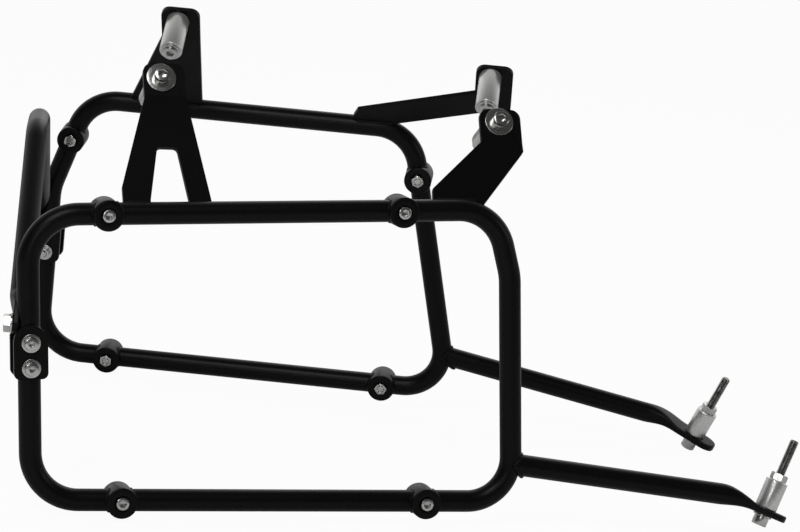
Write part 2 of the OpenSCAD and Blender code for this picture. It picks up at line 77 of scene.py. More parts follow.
# Local z turned to point out of a hoop, along its own -y
OUTWARD = spin("x", 90)
BACK = spin("x", 180)

# The whole frame stands a little nose up, its middle over the origin and its lowest point on the floor
REST = shift(-211.7, 0, 5.5) @ spin("y", -1.92)
# The hoops turn their fronts in, and lean their tops in
HOOP_TURN = spin("z", 9.5) @ spin("x", -5.25)
# Each hoop's plane as it would be on the right, its origin at the rear bottom corner
HOOP_LIFT = {"right": 9.0, "left": 9.5}
HOOP_PLANE = {side: shift(-91, -232, lift) @ HOOP_TURN for side, lift in HOOP_LIFT.items()}
SIDE = {side: REST @ MIRRORED[side] @ plane for side, plane in HOOP_PLANE.items()}

# Corners of each hoop (along, up), and each corner's bend radius as a share of the common one
HOOP_PATH = {
    "right": np.array([(0, 0), (398, 0), (384, 188), (368, 242), (-13, 227)], float),
    "left": np.array([(-7, 0), (381, 0), (328, 248), (30, 248), (-1, 160)], float),
}
BEND_SHARE = {"right": (1, 0.875, 1.5, 1, 1), "left": (1, 0.875, 1, 1, 1.5)}

# Place of each boss on its hoop, and the rail's slope there in degrees
BOSSES = {
    "right": [(71, 0, 0), (322, 0, 0), (288, 238.85, 2.25), (49, 229.44, 2.25)],
    "left": [(59.5, 0, 0), (319, 0, 0), (337.4, 204, 102.06), (16.61, 210, 70.6)],
}
# Half a boss's length, and from its middle to the floor of each recess
BOSS_END = 14
BOSS_FLOOR = 11
BOSS_RECESS_R = 6

# Middle of each clamp on its rear rail, with the rail's lean
CLAMPS = {
    "right": SIDE["right"] @ shift(-6.73, 0, 117.5) @ spin("y", -3.28),
    "left": SIDE["left"] @ shift(-2.86, 0, 110.5) @ spin("y", 2.15),
}
CLAMP_HOLES = (-10, 10)
# From the rail's middle to a clamp plate's near face
CLAMP_FACE = 8.4
# Half width of the clamp plates, their foot, the arch's middle and the inner plates' top
CLAMP_HALF_W = 13.5
CLAMP_FOOT = -19
CLAMP_ARCH = 10.5
CLAMP_TOP = 15

CROSSBAR = REST @ shift(-106.5, 0, 0) @ spin("z", -0.6)
CROSSBAR_SKETCH = CROSSBAR @ spin("z", 90) @ spin("x", 90)
CROSSBAR_CORNERS = np.array([(-221, 149), (-32, 268), (32, 268), (221, 149)], float)
CROSSBAR_BEND = 48
# Its pressed ends: half thickness, offset from the tube's plane at each end, and half width at
# distances from the bolt, which are negative towards the end
CROSSBAR_FLAT = 2.7
CROSSBAR_LIFT = (-2.0, -1.7)
CROSSBAR_REACH = (-8, -7.4, -5, 0, 9, 14)
CROSSBAR_WIDTH = (1.2, 3.0, 6.3, 8.2, 11.9, 11.9)
# Where along the bar the flat starts to open into the tube, and over what length
CROSSBAR_OPEN = (12, 19)
CROSSBAR_BOLTS = [
    CROSSBAR @ shift(-4.7, -221, 149) @ spin("z", -90),
    CROSSBAR @ shift(-4.4, 221, 149) @ spin("z", -90),
]

# Foot of each upper bracket on its rail, height of the fold, and the bolt hole above the fold
BRACKETS = {
    "right_rear": ((62, 230), 110, (38.5, 15)),
    "right_front": ((300, 240), 64, (80, 19.5)),
    "left_rear": ((68, 248), 101, (50, 21)),
    "left_front": ((270, 248), 52, (126, 31.5)),
}
BRACKET_LEAN = -36.75
# Angle and middle radius of the brackets' folds
FOLD = 9.0
FOLD_R = 8.0
# Outline of each bracket (along, up) with the radius of each corner
OUTLINES = {
    "right_rear": ([(1, 5), (23, 5), (23, 12), (31.5, 61), (47.5, 61), (54, 12), (54, 5), (72, 5), (72, 13),
                    (58.5, 108), (58, 138), (24, 138), (24.5, 108), (1, 24)],
                   [0.5, 0.5, 3, 4, 4, 3, 0.5, 0.5, 3, 6, 8, 8, 6, 4]),
    "left_rear": ([(2, 5), (22, 5), (22, 12), (31, 45.5), (44, 45.5), (49, 12), (49, 5), (67, 5), (69, 101),
                   (69, 134), (35, 134), (35, 101), (2, 10)],
                  [0.5, 0.5, 3, 4, 4, 3, 0.5, 0.5, 3, 8, 8, 4, 1]),
    "right_front": ([(15, 0), (50, -3), (54, 0), (99, 57), (99, 95), (64, 95), (64, 66), (17, 19.5)],
                    [0.5, 0.5, 1, 3, 8, 8, 4, 1]),
    "left_front": ([(4, 0), (38, -3), (44, 9.5), (120, 37.2), (120, 66.5), (8, 24), (4, 14)],
                   [0.5, 0.5, 4, 0.5, 0.5, 2, 3]),
}
# The left front bracket's upright ear, which carries its bolt
EAR = [(113, -12), (146, -12), (146, 42), (113, 42)]
# Where each bracket's feet are welded, along the rail
FEET = {
    "right_rear": [(2, 22), (55, 71)],
    "left_rear": [(3, 21), (50, 66)],
    "right_front": [(18, 52)],
    "left_front": [(6, 42)],
}
# A bracket's weld runs this high over the rail's middle
FOOT_WELD = 8.9

# Turn of the arms' flat ends, where each arm leaves its front rail, and the middle of its bolt hole
ARM_TURN = spin("z", 23.5) @ spin("y", 23) @ spin("x", -2)
ARM_ROOT = {"right": (395.65, 31.5), "left": (373.63, 34.5)}
ARM_TIP = {"right": (525.5, -125, -0.5), "left": (512.8, -125, -8.5)}
# The tube's axis meets the flat end this far before the hole, and this much above its middle
ARM_PRESS = 37
ARM_RISE = {"right": 2.0, "left": -1.0}
# Lean of each front rail in its hoop's plane
RAIL_LEAN = {"right": -4.26, "left": -12.06}
# The tube starts to flatten this far before that point, and flattens over this length
ARM_OPEN = (14, 38)
TIP_HALF_W = 12
TIP_HALF_T = 3
# The flat end's nose: its middle past the hole, its radius, the square it is drawn from, and the
# start of its thin rim
NOSE_AT = 10
NOSE_R = 12.02
NOSE_SQUARE = 144.5
NOSE_RIM = 21.2
# The arm bolt's plain shank, and the heights of its thread over the flat end's middle
SHANK_D = 7.2
STUD = (29, 65.4)

# Fixings: diameter, height and key of round heads; across flats, bore and height of nuts; outer
# diameter, bore and thickness of washers; radius and length of spacers
BOLT_D = 8
# Radius of the holes that the 8 mm bolts go through
BOLT_R = 4.2
BOLT_HEAD = (13, 8, 6)
BOLT_NUT = (13, 8, 6.5)
ARM_NUT = (13, SHANK_D, 6.5)
BOLT_WASHER = (16, 8.4, 1.6)
WIDE_WASHER = (24, 8.4, 1.6)
SMALL_WASHER = (17, 8.4, 1.6)
SCREW_D = 6
SCREW_NUT = (10, 6, 5)
BOSS_HEAD = (10.5, 5, 5)
CLAMP_HEAD = (11, 4, 4)
CLAMP_WASHER = (15, 6.4, 1.5)
# Across flats and height of the crossbar's hexagon heads
CROSSBAR_HEAD = (13, 5.5)
UPPER_SPACER = (10, 41)
ARM_SPACER = (9.5, 25)


def on_side(side, matrix):
    """A matrix in the unrested frame of the right arm, put on its own side of the bike."""
    return REST @ MIRRORED[side] @ matrix


def bracket_frame(name):
    """The leaning plane of an upper bracket: x along the rail, z up the plate."""
    foot = BRACKETS[name][0]
    return SIDE[name.split("_")[0]] @ shift(foot[0], 0, foot[1]) @ spin("x", BRACKET_LEAN)


def flange_frame(name):
    """The folded end of an upper bracket."""
    return bracket_frame(name) @ shift(0, 0, BRACKETS[name][1]) @ spin("x", FOLD)


def flange_hole(name):
    """The bolt hole of an upper bracket, with local z out of the hoop."""
    x, z = BRACKETS[name][2]
    return flange_frame(name) @ shift(x, 0, z) @ OUTWARD


def tip_frame(side):
    """The pressed tip of a lower arm: x along the arm, z up the stud."""
    return on_side(side, shift(*ARM_TIP[side]) @ ARM_TURN)


# Parts are (points, quads, polygons, along): along is a length that turned finishes follow

def grid_part(points, wrap_rows=False, wrap_columns=True, ends=True, along=None):
    """A grid of points (rows, columns, 3) as quads; each open end row may be closed by one polygon."""
    rows, columns = points.shape[:2]
    index = np.arange(rows * columns).reshape(rows, columns)
    if wrap_rows:
        index = np.vstack([index, index[:1]])
    if wrap_columns:
        index = np.hstack([index, index[:, :1]])
    quads = np.stack([index[:-1, :-1], index[:-1, 1:], index[1:, 1:], index[1:, :-1]], axis=-1)
    polygons = []
    if ends and not wrap_rows:
        polygons = [list(range(columns))[::-1], list(range((rows - 1) * columns, rows * columns))]
    if along is None:
        along = np.zeros(rows)
    spread = np.repeat(np.asarray(along, float), columns)
    return outward((points.reshape(-1, 3), quads.reshape(-1, 4), polygons, spread))


def volume(part):
    """Signed volume: a sixth of the sum of triple products over a fan of each face."""
    points, quads, polygons, _ = part
    a, b, c, d = (points[quads[:, k]] for k in range(4))
    total = np.einsum("ij,ij->", a, np.cross(b, c)) + np.einsum("ij,ij->", a, np.cross(c, d))
    for polygon in polygons:
        ring = points[polygon]
        total += np.einsum("ij,ij->", np.repeat(ring[:1], len(ring) - 2, 0), np.cross(ring[1:-1], ring[2:]))
    return total / 6


def flipped(part):
    """The same part with its faces turned over."""
    points, quads, polygons, along = part
    return points, quads[:, ::-1], [polygon[::-1] for polygon in polygons], along


def outward(part):
    """The part with its faces pointing out, judged by the sign of its volume."""
    return flipped(part) if volume(part) < 0 else part


def moved(part, matrix):
    """The part carried by a matrix, turned over where the matrix mirrors."""
    points, quads, polygons, along = part
    points = points @ matrix[:3, :3].T + matrix[:3, 3]
    carried = (points, quads, polygons, along)
    return flipped(carried) if np.linalg.det(matrix[:3, :3]) < 0 else carried


def joined(parts):
    """Several parts as one, each keeping its own points."""
    starts = np.cumsum([0] + [len(part[0]) for part in parts])
    points = np.vstack([part[0] for part in parts])
    quads = np.vstack([part[1] + start for part, start in zip(parts, starts)])
    polygons = [[k + int(start) for k in polygon]
                for part, start in zip(parts, starts) for polygon in part[2]]
    return points, quads, polygons, np.concatenate([part[3] for part in parts])


def copies(part, places):
    """A part repeated at several places, as one."""
    return joined([moved(part, place) for place in places])


def rounded(corners, radii, steps=8, closed=True, lead=0.0):
    """Round the corners of a polyline.

    At each corner the arc starts radius * tan(half the turn) before it, and its points are the start
    plus the radius times the change of the side direction. Gives the points and the directions there.
    """
    corners = np.asarray(corners, float)
    radii = np.broadcast_to(np.asarray(radii, float), len(corners))
    before = corners - np.roll(corners, 1, 0)
    after = np.roll(corners, -1, 0) - corners
    if not closed:
        before[0] = after[0]
        after[-1] = before[-1]
    before /= np.linalg.norm(before, axis=1)[:, None]
    after /= np.linalg.norm(after, axis=1)[:, None]
    turn = np.arctan2(before[:, 0] * after[:, 1] - before[:, 1] * after[:, 0], (before * after).sum(1))
    side = np.where(turn < 0, -1.0, 1.0)
    start = corners - before * (radii * np.tan(abs(turn) / 2))[:, None]
    angle = turn[:, None] * np.linspace(0, 1, steps)[None]
    heading = np.stack([
        before[:, 0, None] * np.cos(angle) - before[:, 1, None] * np.sin(angle),
        before[:, 0, None] * np.sin(angle) + before[:, 1, None] * np.cos(angle),
    ], axis=-1)
    left = np.stack([-heading[..., 1], heading[..., 0]], axis=-1)
    points = start[:, None] + (radii * side)[:, None, None] * (left[:, :1] - left)
    if lead:
        points = np.concatenate([points[:, :1] - lead * heading[:, :1], points,
                                 points[:, -1:] + lead * heading[:, -1:]], axis=1)
        heading = np.concatenate([heading[:, :1], heading, heading[:, -1:]], axis=1)
    if closed:
        return points.reshape(-1, 2), heading.reshape(-1, 2)
    return (np.vstack([corners[:1], points[1:-1].reshape(-1, 2), corners[-1:]]),
            np.vstack([before[:1], heading[1:-1].reshape(-1, 2), after[-1:]]))


def smooth_step(run, length):
    """A share that rises from 0 to 1 over a length, as three squares less two cubes."""
    share = np.clip(run / length, 0, 1)
    return share * share * (3 - 2 * share)


def pipe(centres, across, up, half_w, half_h, squareness=2.0, columns=48, closed=False):
    """A section carried along a path.

    The section is a superellipse: its width times cos to the power 2 / squareness across, and its
    height times sin to the same power up, so 2 is an ellipse and 6 is a rounded bar.
    """
    phi = np.linspace(0, 2 * np.pi, columns, endpoint=False)
    power = 2 / np.broadcast_to(np.asarray(squareness, float), len(centres))[:, None]
    cosine, sine = np.cos(phi)[None], np.sin(phi)[None]
    w = np.broadcast_to(half_w, len(centres))[:, None] * np.sign(cosine) * abs(cosine) ** power
    h = np.broadcast_to(half_h, len(centres))[:, None] * np.sign(sine) * abs(sine) ** power
    points = centres[:, None] + w[..., None] * across[:, None] + h[..., None] * up[:, None]
    run = np.concatenate([[0], np.cumsum(np.linalg.norm(np.diff(centres, axis=0), axis=1))])
    return grid_part(points, wrap_rows=closed, along=run)


def bead(centres, up, radius, closed=True, ripple=2.2):
    """A weld bead: a round section along a curve, its radius swelling with every ripple of length."""
    if closed:
        tangent = np.roll(centres, -1, 0) - np.roll(centres, 1, 0)
    else:
        tangent = np.gradient(centres, axis=0)
    tangent /= np.linalg.norm(tangent, axis=1)[:, None]
    side = np.cross(tangent, up)
    side /= np.linalg.norm(side, axis=1)[:, None]
    run = np.concatenate([[0], np.cumsum(np.linalg.norm(np.diff(centres, axis=0), axis=1))])
    swell = radius * (1 + 0.09 * np.sin(2 * np.pi * run / ripple))
    if not closed:
        swell = swell * np.clip(np.sqrt(np.minimum(run, run[-1] - run) / (2 * radius) + 0.04), 0, 1)
    return pipe(centres, side, np.cross(side, tangent), swell, swell, columns=12, closed=closed)


def turned(rows, columns=48, closed=False):
    """A turned part: each row is a radius (one value, or one for each angle) at a height on z."""
    theta = np.linspace(0, 2 * np.pi, columns, endpoint=False)
    radius = np.array([np.broadcast_to(row[0], columns) for row in rows], float)
    height = np.array([np.broadcast_to(row[1], columns) for row in rows], float)
    points = np.stack([radius * np.cos(theta), radius * np.sin(theta), height], axis=-1)
    return grid_part(points, wrap_rows=closed, along=height[:, 0])


def soft_turned(profile, radius=0.4, columns=48, closed=True):
    """A turned part whose profile corners are rounded to the given radius."""
    points, _ = rounded(profile, radius, 4, closed)
    return turned([tuple(point) for point in points], columns, closed)


def hexagon(across, columns=48):
    """Radius of a hexagon at each angle: half its width across flats over the cosine from the flat."""
    theta = np.linspace(0, 2 * np.pi, columns, endpoint=False)
    return across / 2 / np.cos(np.mod(theta, np.pi / 3) - np.pi / 6)


def nut(across, bore, height):
    """A hexagon nut: both rims are cut by cones, so the flats end in arcs."""
    rim = hexagon(across)
    fall = (rim - across / 2) * 0.58 + 0.15
    inner = bore / 2
    rows = [(inner, 0.5), (inner + 0.5, 0.0), (across / 2 - 0.3, 0.0), (rim, fall), (rim, height - fall),
            (across / 2 - 0.3, height), (inner + 0.5, height), (inner, height - 0.5)]
    return turned(rows, closed=True)


def hex_head(across, height):
    """A hexagon bolt head, flat below and cut by a cone above."""
    rim = hexagon(across)
    fall = (rim - across / 2) * 0.58 + 0.15
    rows = [(across / 2 - 0.4, 0.0), (rim, 0.2), (rim, height - fall), (across / 2 - 0.3, height),
            (across / 2 - 1.5, height + 0.05)]
    return turned(rows)


def socket_head(width, height, key):
    """A socket head: a round head with a softened rim and a hexagon recess two thirds deep."""
    r = width / 2
    opening = hexagon(key)
    rows = [(r - 0.4, 0.0), (r, 0.4), (r, height - 0.8), (r - 0.25, height - 0.25), (r - 0.8, height),
            (opening + 0.35, height), (opening, height - 0.35), (opening, height * 0.38),
            (opening * 0.3, height * 0.3)]
    return turned(rows)


def rod(d, low, high):
    """A plain round rod with a softened rim at both ends."""
    r = d / 2
    return turned([(r - 0.5, low), (r, low + 0.5), (r, high - 0.5), (r - 0.5, high)], 32)


def thread(d, low, high, pitch):
    """A thread: the radius falls and rises in a triangle wave of height over pitch less angle over a turn.

    Both ends are cut by a cone.
    """
    columns = 32
    rows = int((high - low) / pitch * 8)
    z = np.linspace(low, high, rows)[:, None]
    theta = np.linspace(0, 2 * np.pi, columns, endpoint=False)[None]
    wave = abs(np.mod(z / pitch - theta / (2 * np.pi), 1) * 2 - 1)
    depth = 0.61 * pitch * np.clip(wave * 1.25 - 0.125, 0, 1)
    radius = np.minimum(d / 2 - depth, d / 2 - 1.2 + np.minimum(z - low, high - z))
    return turned([(r, h[0]) for r, h in zip(radius, np.broadcast_to(z, radius.shape))], columns)


def washer(outer, inner, t):
    """A flat washer standing on z = 0, with softened rims."""
    return soft_turned([(inner / 2, 0), (outer / 2, 0), (outer / 2, t), (inner / 2, t)], 0.3)


def sleeve(radius, length):
    """A turned spacer over an 8 mm bolt, standing on z = 0."""
    return soft_turned([(BOLT_R, 0), (radius, 0), (radius, length), (BOLT_R, length)], 0.7, 64)


def line_curve(matrix, low, high, y, z, step=0.5):
    """A straight run of points along local x, carried by a matrix."""
    x = np.arange(low, high, step)
    points = np.stack([x, np.full_like(x, y), np.full_like(x, z)], axis=-1)
    return points @ matrix[:3, :3].T + matrix[:3, 3]


# Meshes, objects and finishes

# Material and slot of the coated steel, the plated fixings and the turned spacers
COAT = ("powder_coat", "frame_coat")
ZINC = ("zinc_plate", "fixings")
TURNED = ("turned_aluminium", "spacer_metal")


def mesh_of(part, name):
    """A Blender mesh from a part, with its run length kept as the attribute along."""
    points, quads, polygons, along = part
    mesh = bpy.data.meshes.new(name)
    mesh.from_pydata((points * MM).tolist(), [], quads.tolist() + polygons)
    mesh.attributes.new("along", "FLOAT", "POINT").data.foreach_set("value", along * MM)
    mesh.polygons.foreach_set("use_smooth", np.ones(len(mesh.polygons), bool))
    mesh.set_sharp_from_angle(angle=np.radians(32))
    mesh.validate()
    return mesh


def add_piece(name, mesh, material, slot, *nodes):
    """Link a mesh as a piece that rides on the frame and stands for the named CAD nodes."""
    piece = bpy.data.objects.new(name, mesh)
    bpy.context.scene.collection.objects.link(piece)
    piece.data.materials.append(bpy.data.materials[material])
    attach(piece, "root")
    if nodes:
        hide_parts(*nodes)
    return piece


def add_part(name, part, material, slot, *nodes):
    """A piece straight from a numpy part."""
    return add_piece(name, mesh_of(part, name), material, slot, *nodes)


class Wire:
    """A shader socket that takes part in sums: each operator adds its Math node."""

    def __init__(self, finish, socket):
        self.finish = finish
        self.socket = socket

    def math(self, operation, first, second):
        """A Math node on two values."""
        return self.finish.node("ShaderNodeMath", {"operation": operation}, {0: first, 1: second})

    def __add__(self, other):
        return self.math("ADD", self, other)

    def __sub__(self, other):
        return self.math("SUBTRACT", self, other)

    def __rsub__(self, other):
        return self.math("SUBTRACT", other, self)

    def __mul__(self, other):
        return self.math("MULTIPLY", self, other)

    __radd__ = __add__
    __rmul__ = __mul__


class Nodes:
    """A node tree whose nodes come from one method."""

    def __init__(self, tree):
        self.tree = tree

    def node(self, kind, settings=None, sockets=None, out=0):
        """Add a node, set its settings, then its sockets, and give one output."""
        node = self.tree.nodes.new(kind)
        for key, value in (settings or {}).items():
            setattr(node, key, value)
        for key, value in (sockets or {}).items():
            if isinstance(value, Wire):
                self.tree.links.new(value.socket, node.inputs[key])
            else:
                node.inputs[key].default_value = value
        return Wire(self, node.outputs[out])

    def mix(self, factor, first, second):
        """A colour between two, through a Mix node."""
        return self.node("ShaderNodeMix", {"data_type": "RGBA"}, {0: factor, 6: first, 7: second}, 2)


class Finish(Nodes):
    """A material on one Principled shader."""

    def __init__(self, name, roughness, metallic=0.0, specular=0.5):
        self.material = bpy.data.materials.new(name)
        self.material.use_nodes = True
        super().__init__(self.material.node_tree)
        self.shader = self.tree.nodes["Principled BSDF"]
        self.shader.inputs["Roughness"].default_value = roughness
        self.shader.inputs["Metallic"].default_value = metallic
        self.shader.inputs["Specular IOR Level"].default_value = specular

    def place(self):
        """Object coordinates."""
        return self.node("ShaderNodeTexCoord", out="Object")

    def noise(self, scale, detail=2.0, vector=None):
        """Noise at a scale per metre, on Object coordinates unless a vector is given."""
        sockets = {"Vector": vector or self.place(), "Scale": scale, "Detail": detail}
        return self.node("ShaderNodeTexNoise", {}, sockets, "Fac")

    def feed(self, name, wire):
        """Link a value to one of the shader's sockets."""
        self.tree.links.new(wire.socket, self.shader.inputs[name])

    def bump(self, height, strength, distance):
        """Raise the surface by a height, through a Bump node."""
        sockets = {"Height": height, "Strength": strength, "Distance": distance}
        self.feed("Normal", self.node("ShaderNodeBump", {}, sockets, "Normal"))


def shade(value):
    """A grey as a colour."""
    return (value, value, value, 1.0)


def dimmed(colour, factor):
    """A colour times a factor, up to white."""
    return tuple(min(1.0, factor * value) for value in colour[:3]) + (1.0,)


# Sizes and colours that a user would change

class PannierSizes(bpy.types.PropertyGroup):
    """Sizes of the pannier frame's tubes, plates and welds"""
    tube: bpy.props.FloatProperty(
        name="Tube diameter", description="Outer diameter of the hoop, crossbar and arm tube",
        default=0.018, min=0.012, max=0.03, unit="LENGTH")
    bend: bpy.props.FloatProperty(
        name="Bend radius", description="Radius of the hoop corners on the tube's centre line",
        default=0.040, min=0.02, max=0.08, unit="LENGTH")
    boss: bpy.props.FloatProperty(
        name="Boss diameter", description="Outer diameter of the welded bosses",
        default=0.025, min=0.019, max=0.035, unit="LENGTH")
    plate: bpy.props.FloatProperty(
        name="Plate thickness", description="Thickness of the bracket and clamp plates",
        default=0.004, min=0.002, max=0.008, unit="LENGTH")
    bead: bpy.props.FloatProperty(
        name="Weld bead", description="Half width of the weld beads",
        default=0.0014, min=0.0005, max=0.004, unit="LENGTH")
    pitch: bpy.props.FloatProperty(
        name="Thread pitch", description="Pitch of the 8 mm threads",
        default=0.00125, min=0.0005, max=0.002, unit="LENGTH")


class PannierColours(bpy.types.PropertyGroup):
    """Colours of the pannier frame's metals"""
    coat: bpy.props.FloatVectorProperty(
        name="Powder coat", description="Colour of the coated tubes and plates", subtype="COLOR",
        size=4, min=0, max=1, default=(0.0024, 0.0024, 0.0025, 1))
    zinc: bpy.props.FloatVectorProperty(
        name="Zinc", description="Colour of the plated screws, washers and nuts", subtype="COLOR",
        size=4, min=0, max=1, default=(0.62, 0.615, 0.6, 1))
    spacer: bpy.props.FloatVectorProperty(
        name="Spacer metal", description="Colour of the turned aluminium spacers", subtype="COLOR",
        size=4, min=0, max=1, default=(0.66, 0.66, 0.645, 1))


class PANNIER_OT_finishes(bpy.types.Operator):
    """Make the powder coat, the zinc plating, the thread steel and the turned aluminium"""
    bl_idname = "pannier.finishes"
    bl_label = "Make finishes"

    def execute(self, context):
        colours = context.scene.pannier_colours
        coat = Finish("powder_coat", 0.36, specular=0.1)
        cloud = coat.noise(9.0, 3.0)
        coat.feed("Roughness", cloud * 0.14 + 0.27)
        speck = coat.noise(700.0, 1.0)
        coat.feed("Base Color", coat.mix(speck, tuple(colours.coat), dimmed(colours.coat, 1.7)))
        coat.bump(coat.noise(1100.0, 2.0), 0.22, 0.00012)
        zinc = Finish("zinc_plate", 0.3, metallic=1.0)
        cloud = zinc.noise(160.0, 3.0)
        zinc.feed("Roughness", cloud * 0.18 + 0.12)
        zinc.feed("Base Color", zinc.mix(cloud, tuple(colours.zinc), dimmed(colours.zinc, 0.62)))
        zinc.bump(zinc.noise(700.0, 2.0), 0.1, 0.00008)
        steel = Finish("thread_steel", 0.4, metallic=1.0)
        grime = steel.noise(240.0, 3.0)
        steel.feed("Roughness", grime * 0.12 + 0.2)
        steel.feed("Base Color", steel.mix(grime, dimmed(colours.zinc, 0.62), dimmed(colours.zinc, 0.2)))
        spacer = Finish("turned_aluminium", 0.34, metallic=0.75)
        along = spacer.node("ShaderNodeAttribute", {"attribute_name": "along"}, out="Fac")
        ring = spacer.node("ShaderNodeCombineXYZ", {}, {2: along})
        lines = spacer.noise(3800.0, 2.0, ring)
        spacer.feed("Roughness", lines * 0.2 + 0.2)
        spacer.feed("Base Color", spacer.mix(lines, tuple(colours.spacer), dimmed(colours.spacer, 0.86)))
        spacer.bump(lines, 0.08, 0.00008)
        return {"FINISHED"}


class PANNIER_OT_hoops(bpy.types.Operator):
    """Bend both side hoops from tube, with the weld beads of their bosses"""
    bl_idname = "pannier.hoops"
    bl_label = "Make hoops"

    def execute(self, context):
        sizes = context.scene.pannier_sizes
        tube, bend, weld = sizes.tube / MM, sizes.bend / MM, sizes.bead / MM
        for side in ("right", "left"):
            radii = bend * np.array(BEND_SHARE[side])
            path, heading = rounded(HOOP_PATH[side], radii, 22, lead=3.0)
            centres = np.stack([path[:, 0], np.zeros(len(path)), path[:, 1]], axis=-1)
            inner = np.stack([-heading[:, 1], np.zeros(len(path)), heading[:, 0]], axis=-1)
            depth = np.broadcast_to([0.0, 1.0, 0.0], centres.shape)
            loop = pipe(centres, inner, depth, tube / 2, tube / 2, columns=64, closed=True)
            parts = [moved(loop, SIDE[side])]
            phi = np.linspace(0, 2 * np.pi, 120, endpoint=False)
            for x, z, slope in BOSSES[side]:
                place = SIDE[side] @ shift(x, 0, z) @ spin("y", -slope)
                reach = np.sqrt((sizes.boss / MM / 2) ** 2 - (tube / 2 * np.cos(phi)) ** 2)
                for way in (-1, 1):
                    curve = np.stack([way * reach, tube / 2 * np.sin(phi), tube / 2 * np.cos(phi)], axis=-1)
                    up = np.broadcast_to([way, 0.0, 0.0], curve.shape)
                    parts.append(moved(bead(curve, up, 0.75 * weld), place))
            add_part(side + "_hoop_tube", joined(parts), *COAT, side + "_hoop")
        return {"FINISHED"}


class PANNIER_OT_bosses(bpy.types.Operator):
    """Turn the eight welded bosses, recessed for a screw at one end and a nut at the other"""
    bl_idname = "pannier.bosses"
    bl_label = "Make bosses"

    def execute(self, context):
        r = context.scene.pannier_sizes.boss / MM / 2
        half = [(3.4, BOSS_FLOOR), (BOSS_RECESS_R, BOSS_FLOOR), (BOSS_RECESS_R, BOSS_END), (r, BOSS_END)]
        profile = [(x, -z) for x, z in half] + half[::-1]
        body = soft_turned(profile, [0.1, 0.1, 0.5, 1.1, 1.1, 0.5, 0.1, 0.1], 64)
        head = moved(socket_head(*BOSS_HEAD), shift(0, 0, BOSS_FLOOR))
        screw = joined([head, rod(SCREW_D, -16, BOSS_FLOOR + 0.2)])
        for side in ("right", "left"):
            places = [SIDE[side] @ shift(x, 0, z) @ OUTWARD for x, z, _ in BOSSES[side]]
            add_part(side + "_boss_set", copies(body, places), *COAT, side + "_bosses")
        places = [SIDE[side] @ shift(x, 0, z) @ OUTWARD for side in SIDE for x, z, _ in BOSSES[side]]
        screws = copies(screw, [place @ spin("z", 17 * k) for k, place in enumerate(places)])
        add_part("boss_screw_set", screws, *ZINC, "boss_screws")
        seat = shift(0, 0, -BOSS_FLOOR) @ BACK
        nuts = copies(nut(*SCREW_NUT), [place @ seat @ spin("z", 23 * k) for k, place in enumerate(places)])
        add_part("boss_nut_set", nuts, *ZINC, "boss_nuts")
        return {"FINISHED"}


class PANNIER_OT_crossbar(bpy.types.Operator):
    """Bend the rear crossbar and press its ends flat, with its bolts and washers"""
    bl_idname = "pannier.crossbar"
    bl_label = "Make crossbar"

    def execute(self, context):
        tube = context.scene.pannier_sizes.tube / MM
        path, heading = rounded(CROSSBAR_CORNERS, CROSSBAR_BEND, 24, closed=False, lead=3.0)
        leg = heading[0]
        low = np.concatenate([np.linspace(-8, 0, 9), np.linspace(1, 40, 40)])
        start = CROSSBAR_CORNERS[0] + low[:, None] * leg
        path = np.vstack([start, path[1:-1], start[::-1] * [-1, 1]])
        heading = np.vstack([np.repeat(leg[None], len(low), 0), heading[1:-1],
                             np.repeat((leg * [1, -1])[None], len(low), 0)])
        s = np.concatenate([low, np.full(len(path) - 2 * len(low), 99.0), low[::-1]])
        first, length = CROSSBAR_OPEN
        width = np.interp(s, [*CROSSBAR_REACH, first + length], [*CROSSBAR_WIDTH, tube / 2])
        blend = smooth_step(s - first, length)
        height = CROSSBAR_FLAT + (tube / 2 - CROSSBAR_FLAT) * blend
        height = np.where(s < -7.2, 1.9, height)
        square = 6 - 4 * blend
        middle = len(path) // 2
        lift = np.repeat(CROSSBAR_LIFT, [middle, len(path) - middle])
        centres = np.column_stack([path, lift * (1 - blend)])
        side = np.column_stack([-heading[:, 1], heading[:, 0], np.zeros(len(path))])
        face = np.broadcast_to([0.0, 0.0, 1.0], centres.shape)
        bar = pipe(centres, side, face, width, height, square, columns=64)
        add_part("crossbar_tube", moved(bar, CROSSBAR_SKETCH), *COAT, "crossbar")
        places = [place @ OUTWARD for place in CROSSBAR_BOLTS]
        rings = copies(washer(*BOLT_WASHER), places)
        add_part("crossbar_washer_pair", rings, *ZINC, "crossbar_washers")
        head = moved(hex_head(*CROSSBAR_HEAD), shift(0, 0, BOLT_WASHER[2]))
        bolt = joined([head, rod(BOLT_D, -13, BOLT_WASHER[2] + 0.2)])
        add_part("crossbar_bolt_pair", copies(bolt, places), *ZINC, "crossbar_bolts")
        return {"FINISHED"}


